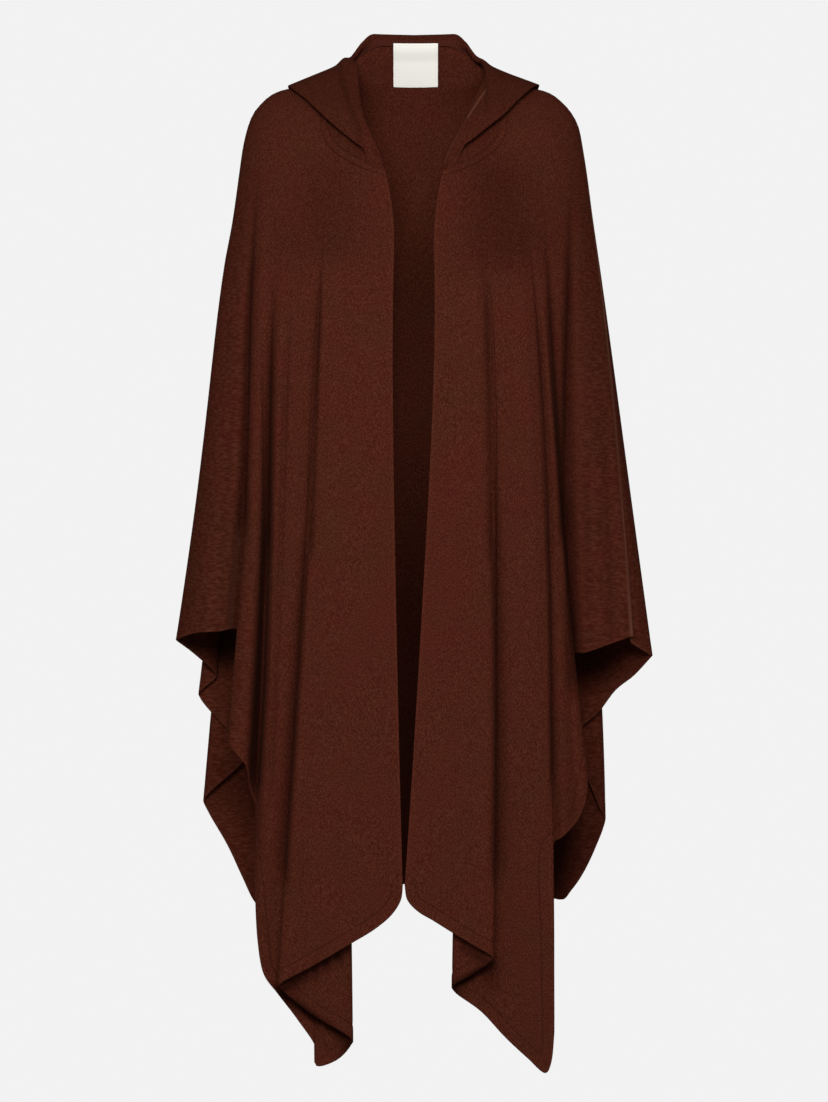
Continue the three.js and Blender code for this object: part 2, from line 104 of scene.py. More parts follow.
MM = 0.001
RIGHT, LEFT = -1, 1
CLOTH = 2.0
SHOULDER_Y = 10
CREST_Z = -8
YOKE_Z = -240
FRONT_FALL = 0.38
SWING_POWER = 4
SEAM = 0.3
HEM = 13.0


def table(columns, *rows):
    return [dict(zip(columns, row)) for row in rows]


YOKE_SECTIONS = table(
    ["z", "right", "left", "front", "back", "backFall"],
    [-240, 241, 236, 134, 112, 0.74],
    [-192, 232, 229, 130, 110, 0.8],
    [-128, 223, 220.5, 116, 104, 0.9],
    [-100, 219, 216, 104, 100, 1.0],
    [-74, 213, 211, 88, 96, 1.15],
    [-56, 206, 202, 74, 93, 1.3],
    [-42, 195, 190, 60, 90, 1.4],
    [-30, 180, 174, 44, 87, 1.4],
    [-22, 150, 146, 30, 85, 1.3],
    [-8, 98, 98, 6, 81, 0.65],
    [8, 99, 99, 6, 75, 0.5],
    [42, 100, 100, 6, 64, 0.4],
)
NECK_FRONT = table(
    ["x", "z"],
    [37, -139],
    [56, -132],
    [78, -121],
    [98, -104],
    [107, -84],
    [108, -58],
    [104, -30],
    [98, CREST_Z],
)
NECK_BACK = table(["x", "z"], [0, 42], [40, 41], [60, 34], [78, 19], [91, 4], [98, CREST_Z])
FOLD_COLUMNS = ["line", "top", "out", "fore", "drop", "bow"]
FRONT_RIGHT = table(
    FOLD_COLUMNS,
    ["front edge", 25, 14, -134, 1030, 3],
    ["hem corner", 27.5, 16, -134, 1046, 3],
    ["hem corner end", 34, 27, -135, 1064, 2],
    ["flap 1", 47, 48, -136, 1082, 1],
    ["flap 2", 65, 76, -137, 1099, 1],
    ["flap 3", 90, 124, -139, 1127, 1],
    ["fold edge", 109, 166, -142, 1150, 0],
    ["fold back", 110.2, 166, -134, 1155, 0],
    ["under layer", 111.4, 128, -123, 1189, 10],
    ["under fold", 112.6, 78, -109, 1223, -7],
    ["under fold back", 114, 79, -101, 1232, -7],
    ["lower layer", 118, 96, -99, 1250, -3],
    ["corner", 124, 122, -101, 1257, 2],
    ["corner return", 128, 122, -98, 1237, 6],
    ["selvedge 1", 135, 145, -101, 1200, 2],
    ["selvedge 2", 143, 170, -107, 1166, 0],
    ["selvedge 3", 151, 187, -109, 1142, -2],
    ["selvedge 4", 158, 194, -107, 1104, -4],
    ["selvedge 5", 166, 198, -94, 1010, -6],
    ["valley", 175, 199, -70, 936, -6],
    ["ridge foot", 181, 205, -82, 915, -7],
    ["ridge", 187, 210, -106, 882, -8],
    ["ridge side", 192, 226, -104, 862, -8],
    ["ridge edge", 196, 233, -95, 840, -8],
    ["ridge return", 199, 223, -60, 780, -7],
    ["sleeve valley", 203, 221, -48, 716, -6],
    ["sleeve 1", 212, 248, -61, 717, -5],
    ["sleeve 2", 225, 275, -46, 719, -4],
    ["sleeve 3", 236, 297, -16, 726, -3],
    ["arm", 241, 304, 0, 730, -3],
)


def column(rows, by, place, name):
    """The value of one column at a place on a table, on a cubic that never overshoots its rows."""
    up = rows if rows[0][by] < rows[-1][by] else rows[::-1]
    last = len(up) - 1
    at = min(max(place, up[0][by]), up[last][by])
    i = 0
    while i < last - 1 and at > up[i + 1][by]:
        i += 1

    def rise(k):
        return (up[k + 1][name] - up[k][name]) / (up[k + 1][by] - up[k][by])

    def slope(k):
        if k == 0:
            return rise(0)
        if k == last:
            return rise(last - 1)
        before, after = rise(k - 1), rise(k)
        return 0 if before * after <= 0 else 2 * before * after / (before + after)

    span = up[i + 1][by] - up[i][by]
    s = (at - up[i][by]) / span
    start, end = up[i][name], up[i + 1][name]
    return (
        (2 * s**3 - 3 * s**2 + 1) * start
        + (s**3 - 2 * s**2 + s) * span * slope(i)
        + (3 * s**2 - 2 * s**3) * end
        + (s**3 - s**2) * span * slope(i + 1)
    )


def mix(a, b, share):
    return a + (b - a) * share


def half_width(side, z):
    return column(YOKE_SECTIONS, "z", z, "right" if side == RIGHT else "left")


def on_yoke(side, face, share, z):
    """A point on the smooth yoke: share runs from the middle, 0, to the shoulder line, 1."""
    fall = FRONT_FALL if face == "front" else column(YOKE_SECTIONS, "z", z, "backFall")
    depth = column(YOKE_SECTIONS, "z", z, face)
    fullness = max(0.0, 1 - share**2) ** fall
    way = -1 if face == "front" else 1
    return np.array([side * share * half_width(side, z), SHOULDER_Y + way * depth * fullness, z])


SHOULDER_STEPS = 80
shoulder_walks = {}


def shoulder_drop(side, share):
    """How much of the drop from neck to yoke end the shoulder line makes in a share of its length."""
    if side not in shoulder_walks:
        walked = [{"length": 0.0, "z": CREST_Z}]
        for i in range(1, SHOULDER_STEPS + 1):
            before = walked[-1]
            z = mix(CREST_Z, YOKE_Z, (i / SHOULDER_STEPS) ** 2)
            outward = half_width(side, z) - half_width(side, before["z"])
            walked.append({"length": before["length"] + math.hypot(outward, z - before["z"]), "z": z})
        shoulder_walks[side] = walked
    walked = shoulder_walks[side]
    z = column(walked, "length", share * walked[-1]["length"], "z")
    return (z - CREST_Z) / (YOKE_Z - CREST_Z)


def neckline(side, face, place):
    """A point of the neck seam: 0 at the front edge or the nape, 1 at the shoulder line."""
    rows = NECK_FRONT if face == "front" else NECK_BACK
    numbered = [dict(row, i=i / (len(rows) - 1)) for i, row in enumerate(rows)]
    z = column(numbered, "i", place, "z")
    share = min(1.0, column(numbered, "i", place, "x") / half_width(side, z))
    return z, share, on_yoke(side, face, share, z)


def fold_line(side, face, rows, row, places):
    """Points down one fold line: 0 at the neck seam, 1 where it leaves the yoke, 2 at its end."""
    inner, outer = rows[0]["top"], rows[-1]["top"]
    along = (row["top"] - inner) / (outer - inner)
    start_z, start_share, _ = neckline(side, face, along)
    end_share = min(1.0, row["top"] / outer)

    def yoke_point(s):
        drop = mix(s, shoulder_drop(side, s), along**2)
        share = mix(start_share, end_share, 1 - (1 - s) ** 2)
        return on_yoke(side, face, share, mix(start_z, YOKE_Z, drop))

    top = yoke_point(1.0)
    chord = np.array([side * row["out"], row["fore"], -row["drop"]]) - top
    slope = top - yoke_point(0.97)
    slope = slope / np.linalg.norm(slope) * np.linalg.norm(chord) - chord
    points = []
    for place in places:
        if place <= 1:
            points.append(yoke_point(place))
            continue
        s = place - 1
        bow = np.array([side * row["bow"] * 4 * s * (1 - s), 0, 0])
        points.append(top + chord * s + slope * s * (1 - s) ** SWING_POWER + bow)
    return np.array(points)


def smooth_across(points, pitch):
    """Cloth between fold lines: a centripetal curve through them at every level."""
    lengths = np.linalg.norm(np.diff(points, axis=1), axis=2).max(axis=0)
    counts = np.clip(np.round(lengths / pitch), 4, 14).astype(int)
    first = 2 * points[:, :1] - points[:, 1:2]
    last = 2 * points[:, -1:] - points[:, -2:-1]
    posts = np.concatenate([first, points, last], axis=1)
    lines = []
    for i, count in enumerate(counts):
        p0, p1, p2, p3 = (posts[:, i + k] for k in range(4))
        t1 = np.linalg.norm(p1 - p0, axis=1, keepdims=True) ** 0.5 + 1e-6
        t2 = t1 + np.linalg.norm(p2 - p1, axis=1, keepdims=True) ** 0.5 + 1e-6
        t3 = t2 + np.linalg.norm(p3 - p2, axis=1, keepdims=True) ** 0.5 + 1e-6
        for k in range(count):
            t = t1 + (t2 - t1) * k / count
            a1 = (t1 - t) / t1 * p0 + t / t1 * p1
            a2 = (t2 - t) / (t2 - t1) * p1 + (t - t1) / (t2 - t1) * p2
            a3 = (t3 - t) / (t3 - t2) * p2 + (t - t2) / (t3 - t2) * p3
            b1 = (t2 - t) / t2 * a1 + t / t2 * a2
            b2 = (t3 - t) / (t3 - t1) * a2 + (t - t1) / (t3 - t1) * a3
            lines.append((t2 - t) / (t2 - t1) * b1 + (t - t1) / (t2 - t1) * b2)
    lines.append(points[:, -1])
    return np.stack(lines, axis=1)


YOKE_LEVELS = list(np.linspace(0, 1, 30))
HEM_LEVELS = [0.966, 0.974, 0.98, 0.9845, 0.9872, 0.99, 0.9928, 0.9956, 0.998, 1.0]
DROP_LEVELS = [1 + s for s in list(np.linspace(0, 0.957, 58))[1:] + HEM_LEVELS]
LEVELS = YOKE_LEVELS + DROP_LEVELS


def press(grid, creases):
    """Presses soft troughs and ridges, each along a line seen from the front, steeper on the side
    towards the middle, and tells how much painted shade, from 0 to 1, each point takes in its colour."""
    x, z = grid[..., 0].copy(), grid[..., 2].copy()
    depth = np.zeros(grid.shape[:2])
    for crease in creases:
        x0, z0, x1, z1 = (crease[k] for k in ("x0", "z0", "x1", "z1"))
        s = np.clip((z - z0) / (z1 - z0), 0, 1)
        middle = mix(x0, x1, s) + crease["bend"] * 4 * s * (1 - s)
        outside = (x - middle) * np.sign(x0) > 0
        reach = crease["wide"] * (0.6 + 0.4 * s) * np.where(outside, crease["slack"], 1.0)
        over = np.maximum(z - max(z0, z1), min(z0, z1) - z)
        ends = np.clip((z0 - z) / crease["fade"], 0, 1) * np.where(z < z1, np.exp(-((over / 40) ** 2)), 1.0)
        ends = ends * ends * (3 - 2 * ends)
        near = np.exp(-(((x - middle) / reach) ** 2))
        grid[..., 1] += crease["out"] * ends * near
        # the painted shade this row asks for, deepest at its middle
        depth = np.maximum(depth, crease["dark"] * ends * near)
    return depth


def worn_lines(grid, lines):
    """How much painted highlight lies along a few fold edges, each a line seen from the front."""
    x, z = grid[..., 0], grid[..., 2]
    worn = np.zeros(grid.shape[:2])
    for line in lines:
        s = (z - line["z0"]) / (line["z1"] - line["z0"])
        middle = mix(line["x0"], line["x1"], s) + line["bend"] * 4 * s * (1 - s)
        ends = np.clip(np.minimum(s, 1 - s) / 0.06 + 1, 0, 1)
        worn = np.maximum(worn, line["share"] * ends * np.exp(-(((x - middle) / line["wide"]) ** 2)))
    return worn


def surface_normals(grid):
    before = np.diff(grid, axis=1, prepend=2 * grid[:, :1] - grid[:, 1:2])
    after = np.diff(grid, axis=1, append=2 * grid[:, -1:] - grid[:, -2:-1])
    before /= np.linalg.norm(before, axis=2, keepdims=True) + 1e-9
    after /= np.linalg.norm(after, axis=2, keepdims=True) + 1e-9
    across = before + after
    down = np.gradient(grid, axis=0)
    normals = np.cross(across, down)
    return normals / (np.linalg.norm(normals, axis=2, keepdims=True) + 1e-9)


def distance_to(grid, line):
    """Distance of every point to a chain of points."""
    nearest = np.full(grid.shape[:2], 1e9)
    for a, b in zip(line[:-1], line[1:]):
        along = b - a
        s = np.clip(((grid - a) @ along) / (along @ along + 1e-9), 0, 1)
        nearest = np.minimum(nearest, np.linalg.norm(grid - a - s[..., None] * along, axis=2))
    return nearest


RIM_ROUND = 0.45
FAR = 1000.0


def cloth_wall(name, grid, normals, thickness, readings, patterned):
    """A closed thin wall on a grid of points, with its cut laid out as a UV map. Its rounded rim
    stands out past the grid by RIM_ROUND of the thickness."""
    rows, columns = grid.shape[:2]
    half = (normals * thickness[..., None] / 2).reshape(-1, 3)
    flat = grid.reshape(-1, 3)
    number = np.arange(rows * columns).reshape(rows, columns)
    rim = np.concatenate([number[0, :-1], number[:-1, -1], number[-1, :0:-1], number[:0:-1, 0]])
    inner = np.concatenate([number[1, :-1], number[:-1, -2], number[-2, :0:-1], number[:0:-1, 1]])
    outward = flat[rim] - flat[inner]
    outward /= np.linalg.norm(outward, axis=1, keepdims=True) + 1e-9
    bulge = flat[rim] + outward * thickness.reshape(-1)[rim][:, None] * RIM_ROUND
    points = np.concatenate([flat + half, flat - half, bulge]) * MM
    a, b, c, d = number[:-1, :-1], number[1:, :-1], number[1:, 1:], number[:-1, 1:]
    total = rows * columns
    top = np.stack([a, b, c, d], axis=-1).reshape(-1, 4)
    under = np.stack([a, d, c, b], axis=-1).reshape(-1, 4) + total
    ring = np.arange(len(rim)) + 2 * total
    after = np.roll(np.arange(len(rim)), -1)
    upper_rim = np.stack([rim, rim[after], ring[after], ring], axis=-1)
    lower_rim = np.stack([ring, ring[after], rim[after] + total, rim + total], axis=-1)
    faces = np.concatenate([top, under, upper_rim, lower_rim])
    corners = points[faces]
    spans = np.cross(corners[:, 2] - corners[:, 0], corners[:, 3] - corners[:, 1])
    if (corners.mean(axis=1) * spans).sum() < 0:
        faces = faces[:, ::-1]
    mesh = bpy.data.meshes.new(name)
    mesh.from_pydata(points.tolist(), [], faces.tolist())
    source = np.concatenate([np.arange(total), np.arange(total), rim])
    for label, values in readings.items():
        outer, inner_face = values if isinstance(values, tuple) else (values, values)
        both = np.concatenate([outer.reshape(-1), inner_face.reshape(-1), outer.reshape(-1)[rim]])
        attribute = mesh.attributes.new(label, "FLOAT", "POINT")
        attribute.data.foreach_set("value", (both * MM).astype(np.float32))
    uv = mesh.uv_layers.new(name="cut")
    laid = patterned.reshape(-1, 2)[source][faces.reshape(-1)] * MM
    uv.data.foreach_set("uv", laid.astype(np.float32).reshape(-1))
    mesh.shade_smooth()
    mesh.validate()
    piece = bpy.data.objects.new(name, mesh)
    bpy.context.scene.collection.objects.link(piece)
    return piece


def laid_flat(grid, from_column, way):
    """The cut as a map in millimetres: across from one line, and down from the neck."""
    across = np.linalg.norm(np.diff(grid, axis=1, prepend=grid[:, :1]), axis=2).cumsum(axis=1)
    across = (across - across[:, from_column : from_column + 1]) * way
    down = np.linalg.norm(np.diff(grid, axis=0, prepend=grid[:1]), axis=2).cumsum(axis=0)
    return np.stack([across, -down], axis=-1)


HEM_THICKER = 0.9
GROOVE_OFF = 0.6
GROOVE_DEEP = 0.7
CUFF_FLATTER = 0.75
SLEEVE_FROM, SLEEVE_OVER = 190, 40


def hem_thickness(from_hem, sleeve):
    """Cloth, then the stitched groove, then the turned-up hem, flatter at the cuffs."""
    band = np.clip((HEM - 0.5 - from_hem) / 1.5, 0, 1)
    groove = np.exp(-(((from_hem - HEM - GROOVE_OFF) / 1.6) ** 2))
    return CLOTH + (HEM_THICKER * band - GROOVE_DEEP * groove) * (1 - CUFF_FLATTER * sleeve)


class Reading:
    """A shader socket: sums written on it become Math nodes in the material being made."""

    tree = None

    def __init__(self, socket):
        self.socket = socket

    @classmethod
    def node(cls, kind, settings=None, values=None, out=0):
        made = cls.tree.nodes.new(kind)
        for key, value in (settings or {}).items():
            setattr(made, key, value)
        for key, value in (values or {}).items():
            if isinstance(value, Reading):
                cls.tree.links.new(value.socket, made.inputs[key])
            else:
                made.inputs[key].default_value = value
        return cls(made.outputs[out])

    def sums(self, operation, *others, clamp=False):
        values = dict(enumerate((self,) + others))
        return Reading.node("ShaderNodeMath", {"operation": operation, "use_clamp": clamp}, values)

    def __add__(self, other):
        return self.sums("ADD", other)

    def __sub__(self, other):
        return self.sums("SUBTRACT", other)

    def __rsub__(self, other):
        return Reading.node("ShaderNodeMath", {"operation": "SUBTRACT"}, {0: other, 1: self})

    def __mul__(self, other):
        return self.sums("MULTIPLY", other)

    def __truediv__(self, other):
        return self.sums("DIVIDE", other)

    def held(self):
        """Kept between 0 and 1."""
        return self.sums("ADD", 0.0, clamp=True)

    def bump(self, middle, reach):
        """1 at the middle value, falling to 0 at reach on either side."""
        return (1 - (self - middle).sums("ABSOLUTE") / reach).held()


def shade(a, b, share):
    """One colour turning into another."""
    colours = {6: a, 7: b, 0: share}
    return Reading.node("ShaderNodeMix", {"data_type": "RGBA"}, colours, out=2)


def new_finish(name, **constants):
    """A new material whose surface is open for its readings."""
    finish = bpy.data.materials.new(name)
    finish.use_nodes = True
    Reading.tree = finish.node_tree
    surface = finish.node_tree.nodes["Principled BSDF"]
    for socket, value in constants.items():
        surface.inputs[socket.replace("_", " ")].default_value = value
    return finish, surface


def connect(surface, socket, reading):
    Reading.tree.links.new(reading.socket, surface.inputs[socket])


def carried(name):
    """A distance or share stored on the sheet's points, in the script's own units."""
    return Reading.node("ShaderNodeAttribute", {"attribute_name": name}, out=2) * 1000


def noise(place, scale, detail):
    values = {"Vector": place, "Scale": scale, "Detail": detail}
    return Reading.node("ShaderNodeTexNoise", {}, values)


def brushed_wool(name, ground, patch, fleck, pale):
    """Brushed wool knit: uneven dye, short slanting strokes of nap, knit courses and a soft bloom, with
    painted shade in its folds and painted highlights along a few edges.
    """
    finish, surface = new_finish(
        name, Roughness=0.95, Sheen_Weight=0.01, Sheen_Roughness=0.5, Sheen_Tint=(0.8, 0.36, 0.24, 1)
    )
    surface.inputs["Specular IOR Level"].default_value = 0.0
    body = Reading.node("ShaderNodeTexCoord", out=3)
    slanted = Reading.node(
        "ShaderNodeMapping",
        {},
        {"Vector": body, "Rotation": (0, math.radians(32), 0), "Scale": (880, 440, 450)},
    )
    strokes = noise(slanted, 1.0, 2.0)
    level = Reading.node("ShaderNodeMapping", {}, {"Vector": body, "Scale": (130, 130, 420)})
    courses = noise(level, 1.0, 1.0)
    nap = noise(body, 1250.0, 2.0)
    patches = noise(body, 26.0, 3.0)
    drift = noise(body, 5.0, 2.0)
    sleeve = carried("sleeve")
    from_hem = carried("from_hem")
    from_edge = carried("from_edge")
    worn = carried("worn")
    stitch_line = from_hem.bump(HEM + GROOVE_OFF, 1.5) * (1 - sleeve * CUFF_FLATTER)
    hem_band = ((HEM - from_hem) / 2).held() * (1 - sleeve * CUFF_FLATTER)
    selvedge = ((4.5 - from_edge) / 2.5).held()
    lip = ((2.2 - from_hem) / 1.6).held()
    painted_shade = carried("painted_shade")
    from_neck = carried("from_neck")
    neck_seam = (from_neck.bump(1.6, 1.8) * 0.24 + from_neck.bump(9.5, 1.6) * 0.4).held()
    grain = strokes * (1 - sleeve) + courses * sleeve
    dye = ((patches - 0.5) * 1.5 + 0.5 + (drift - 0.5) * 0.9).held()
    colour = shade(ground, patch, dye)
    flecked = ((grain - 0.5) * (4.6 - sleeve * 2.2) + (nap - 0.5) * 2.6 + 0.34).held()
    colour = shade(colour, fleck, flecked * 0.56)
    colour = shade(colour, fleck, (selvedge * 0.1 + lip * 0.16).held())
    # Painted highlight: paler colour along a few fold edges and the hood's roll edge, where light catches
    # them.
    colour = shade(colour, pale, worn * 0.7)
    # Painted shade: near-black mixed in along the folds, under the hems, over the chest, on the hood and
    # inside the back; the neck seam's dark lines are the seam's own colour.
    colour = shade(colour, (0.004, 0.001, 0.0006, 1), (painted_shade + neck_seam).held())
    colour = shade(colour, (0.012, 0.0035, 0.002, 1), stitch_line * 0.4)
    connect(surface, "Base Color", colour)
    relief = grain * 0.55 + nap * 0.3 + hem_band * 0.4 - stitch_line * 0.7
    bumped = Reading.node("ShaderNodeBump", {}, {"Height": relief, "Strength": 0.5, "Distance": 0.0011})
    connect(surface, "Normal", bumped)
    return finish


wool = brushed_wool(
    "brushed_wool",
    ground=(0.043, 0.0066, 0.0040, 1),
    patch=(0.033, 0.0084, 0.0038, 1),
    fleck=(0.096, 0.027, 0.016, 1),
    # pale is the colour of the painted highlights.
    pale=(0.17, 0.065, 0.04, 1),
)


FRONT_PITCH = 5.2


def hang_front(name, side, rows, creases, worn):
    """Makes a front panel from its fold lines."""
    lines = np.stack([fold_line(side, "front", rows, row, LEVELS) for row in rows], axis=1)
    grid = smooth_across(lines, FRONT_PITCH)
    painted_shade = press(grid, creases)
    normals = surface_normals(grid)
    grid[:, -1, 1] -= SEAM / 2
    normals[:, -1, 1] = 0
    normals[:, -1] /= np.linalg.norm(normals[:, -1], axis=1, keepdims=True)
    from_hem = distance_to(grid, grid[-1])
    from_edge = distance_to(grid, grid[:, 0])
    outward = np.abs(grid[..., 0])
    sleeve = np.clip((outward - SLEEVE_FROM) / SLEEVE_OVER, 0, 1)
    readings = {"from_hem": from_hem, "from_edge": from_edge, "sleeve": sleeve}
    readings["worn"] = worn_lines(grid, worn)
    # Shade painted along the folds and under the hem.
    readings["painted_shade"] = painted_shade
    readings["from_neck"] = distance_to(grid, grid[0])
    thickness = hem_thickness(from_hem, sleeve)
    panel = cloth_wall(name, grid, normals, thickness, readings, laid_flat(grid, 0, side))
    panel.data.materials.append(wool)
    return panel, grid


CREASE_COLUMNS = ["x0", "z0", "x1", "z1", "bend", "wide", "slack", "fade", "out", "dark"]
# Crease rows. The dark column is shade painted into the colour along each trough; rows with out 0 press
# nothing and are painted shade only.
RIGHT_CREASES = table(
    CREASE_COLUMNS,
    # Painted shade: a broad darker patch over the chest.
    [-92, -85, -112, -222, 0, 62, 1, 70, 0, 0.24],
    [-114, -215, -127, -590, 0, 4, 2.2, 140, 7, 0.42],
    [-127, -540, -158, -990, 0, 4.5, 2.4, 90, 8, 0.5],
    [-104, -190, -148, -980, 0, 16, 1, 200, -4, 0],
    [-154, -250, -178, -900, 2, 4, 2, 200, 4, 0.12],
    [-176, -255, -183, -590, 0, 5, 1.3, 160, 7, 0.62],
    [-182, -520, -199, -880, 0, 6, 1.3, 90, 8, 0.72],
    [-166, -230, -176, -760, 0, 9, 1, 160, -3, 0],
    [-196, -120, -212, -560, -3, 5, 1.5, 170, 8, 0.55],
    [-211, -480, -237, -830, 0, 6, 1.4, 100, 8, 0.5],
    [-187, -150, -210, -780, 0, 9, 1, 160, -3, 0],
    [-226, -360, -247, -700, 0, 9, 1, 140, 3, 0.1],
    # Painted shadows: under the flap's turned-up hem, and below the fold under it.
    [-72, -1108, -168, -1161, 0, 17, 1, 16, 0, 0.75],
    [-168, -1158, -80, -1230, 0, 12, 1, 14, 0, 0.75],
)

HIGHLIGHT_COLUMNS = ["x0", "z0", "x1", "z1", "bend", "wide", "share"]
# Painted highlight along the fold edge over the right sleeve.
RIGHT_HIGHLIGHTS = table(
    HIGHLIGHT_COLUMNS,
    [-223, -600, -246, -880, 0, 3, 0.3],
)

front_right, front_grid_right = hang_front(
    "front_right_cloth", RIGHT, FRONT_RIGHT, RIGHT_CREASES, RIGHT_HIGHLIGHTS
)
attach(front_right, "root")
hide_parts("front_right")


# ---- left front panel ---------------------------------------------------------------------------
# The wearer's left front, cut like the right one the other way round and hung in folds of its own:
# a long flap turned under at its hem, a straight corner, and a pressed fold down the sleeve.

FRONT_LEFT = table(
    FOLD_COLUMNS,
    ["front edge", 25, -11.5, -134, 1030, 5],
    ["hem corner", 27.5, -8.5, -134, 1046, 5],
    ["hem corner end", 34, 4, -135, 1060, 5],
    ["flap 1", 44, 24, -136, 1072, 5],
    ["flap 2", 58, 50, -138, 1088, 6],
    ["flap 3", 74, 74, -141, 1102, 7],
    ["fold edge", 87.5, 96, -144, 1115, 7],
    ["fold back", 88.7, 96, -136, 1121, 7],
    ["under layer", 89.9, 71, -125, 1141, 14],
    ["under fold", 91.1, 49, -118, 1155, -8],
    ["under fold back", 92.5, 50, -110, 1163, -8],
    ["lower layer 1", 98, 83, -107, 1188, 2],
    ["lower layer 2", 109, 114, -107, 1221, 8],
    ["lower layer 3", 120, 141, -108, 1246, 8],
    ["corner", 130, 164, -108, 1265, 9],
    ["corner return", 134, 171, -107, 1252, 10],
    ["selvedge 1", 138, 172, -105, 1120, 10],
    ["selvedge 2", 141, 172.5, -102, 981, 10],
    ["shallow valley", 145, 186, -88, 973, 8],
    ["ridge", 152, 206, -101, 948, 4],
    ["ridge side", 158, 214.5, -99, 922, -3],
    ["ridge edge", 162, 216, -90, 888, -6],
    ["ridge return", 173, 205, -54, 802, -5],
    ["sleeve valley", 190, 200, -42, 748, 0],
    ["sleeve 1", 199, 218, -59, 743, 0],
    ["sleeve 2", 214, 248, -50, 733, 1],
    ["sleeve fold", 227.5, 278, -35, 724, 3],
    ["sleeve fold back", 229.5, 276, -24, 731, 3],
    ["sleeve 3", 233, 290, -14, 741, 1],
    ["arm", 236, 304.5, 0, 750, 0],
)
# Crease rows as on the right: the dark column is shade painted along each trough; rows with out 0 are
# painted shade only.
LEFT_CREASES = table(
    CREASE_COLUMNS,
    # Painted shade: a broad darker patch over the chest.
    [92, -85, 112, -232, 0, 62, 1, 70, 0, 0.36],
    [86, -205, 96, -590, 2, 4, 2.4, 150, 7, 0.36],
    [96, -530, 100, -990, 3, 4.5, 2.8, 90, 8, 0.46],
    [75, -190, 84, -980, 0, 16, 1, 200, -4, 0],
    [142, -200, 168, -600, 4, 4, 1.6, 180, 6, 0.3],
    [168, -540, 173, -880, 0, 4, 1.4, 90, 6, 0.5],
    [130, -200, 150, -800, 4, 12, 1, 180, -4, 0],
    [165, -175, 186, -570, -2, 6, 1.3, 190, 8, 0.6],
    [200, -120, 189, -570, -2, 7, 1.2, 190, 9, 0.6],
    [187, -520, 196, -760, 0, 8, 1.6, 60, 8, 0.62],
    [214, -440, 222, -700, 0, 7, 1, 120, 4, 0.15],
    [240, -400, 252, -700, 0, 7, 1, 120, 3, 0.12],
    # Painted shadows: below the flap's turned-under fold, and inside the tuck of its hem.
    [100, -1122, 46, -1161, 0, 14, 1, 10, 0, 0.8],
    [46, -1099, 94, -1126, 0, 14, 1, 10, 0, 0.55],
)

# Painted highlight along the pressed fold down the left sleeve.
LEFT_HIGHLIGHTS = table(
    HIGHLIGHT_COLUMNS,
    [216, -109, 276, -720, 5, 1.3, 0.8],
)

front_left, front_grid_left = hang_front("front_left_cloth", LEFT, FRONT_LEFT, LEFT_CREASES, LEFT_HIGHLIGHTS)
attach(front_left, "root")
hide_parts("front_left")


# ---- back panel ---------------------------------------------------------------------------------
# The back, one wide panel of the same knit from cuff to cuff, hung in long shallow folds. Both its
# lower corners cascade to the cuffs, and its lower edge is turned up and stitched like the fronts'.

BACK_RIGHT = table(
    FOLD_COLUMNS,
    ["middle", 0, 0, 117, 1054, 0],
    ["ridge 1", 34, 40, 124, 1056, 0],
    ["valley 1", 66, 82, 109, 1061, 0],
    ["ridge 2", 96, 124, 122, 1070, 0],
    ["valley 2", 122, 164, 110, 1082, 0],
    ["corner", 142, 200, 116, 1087, 2],
    ["corner end", 152, 211, 115, 1076, 4],
    ["lower edge 1", 166, 226, 113, 1045, 6],
    ["lower edge 2", 178, 246, 112, 1002, 8],
    ["lower edge 3", 190, 270, 110, 960, 5],
    ["outer fold", 198, 276, 103, 944, 4],
    ["outer fold back", 202, 270, 94, 934, 4],
    ["inner fold", 206, 218, 86, 884, 4],
    ["inner fold back", 210, 219, 78, 872, 4],
    ["middle layer", 214, 250, 80, 842, 6],
    ["sleeve fold", 219, 280, 80, 806, -2],
    ["sleeve fold back", 222, 278, 71, 798, -2],
    ["sleeve inner fold", 226, 258, 66, 780, -2],
    ["sleeve inner back", 229, 260, 56, 772, -2],
    ["sleeve", 236, 285, 34, 747, -3],
    ["arm", 241, 304, 0, 730, -3],
)
BACK_LEFT = table(
    FOLD_COLUMNS,
    ["middle", 0, 0, 117, 1054, 0],
    ["ridge 1", 38, 44, 123, 1055, 0],
    ["valley 1", 72, 88, 110, 1058, 0],
    ["ridge 2", 102, 130, 121, 1064, 0],
    ["valley 2", 124, 168, 111, 1068, 0],
    ["corner", 140, 197, 115, 1074, 2],
    ["corner end", 150, 206, 115, 1064, 5],
    ["lower edge 1", 162, 221, 114, 1043, 8],
    ["lower edge 2", 172, 239, 112, 1006, 11],
    ["outer fold", 182, 251, 106, 968, 14],
    ["outer fold back", 186, 243, 96, 951, 14],
    ["inner fold", 194, 212, 88, 868, 6],
    ["inner fold back", 199, 213, 79, 852, 4],
    ["sleeve 1", 210, 241, 72, 825, 4],
    ["sleeve 2", 220, 262, 58, 796, 3],
    ["sleeve 3", 230, 284, 34, 776, 1],
    ["arm", 236, 304.5, 0, 750, 0],
)
# The dark column is shade painted into the colour along each trough.
BACK_CREASES = table(
    CREASE_COLUMNS,
    [-60, -260, -80, -980, 0, 14, 1, 200, 5, 0.2],
    [-112, -240, -158, -980, 0, 12, 1, 200, 6, 0.3],
    [54, -280, 70, -980, 0, 14, 1, 200, 5, 0.2],
    [118, -250, 160, -980, 0, 12, 1, 200, 6, 0.3],
    # Painted shadow cast by the left front's edge onto the back's lower corner beside it.
    [214, -900, 182, -1050, 0, 22, 1, 30, 0, 0.75],
)
# Painted shadows on the inside of the back just below both cuffs.
BACK_SHADES = table(
    CREASE_COLUMNS,
    [-244, -714, -240, -738, 0, 28, 1, 5, 0, 0.6],
    [238, -716, 226, -762, 0, 30, 1, 6, 0, 0.55],
)

BACK_PITCH = 7.5

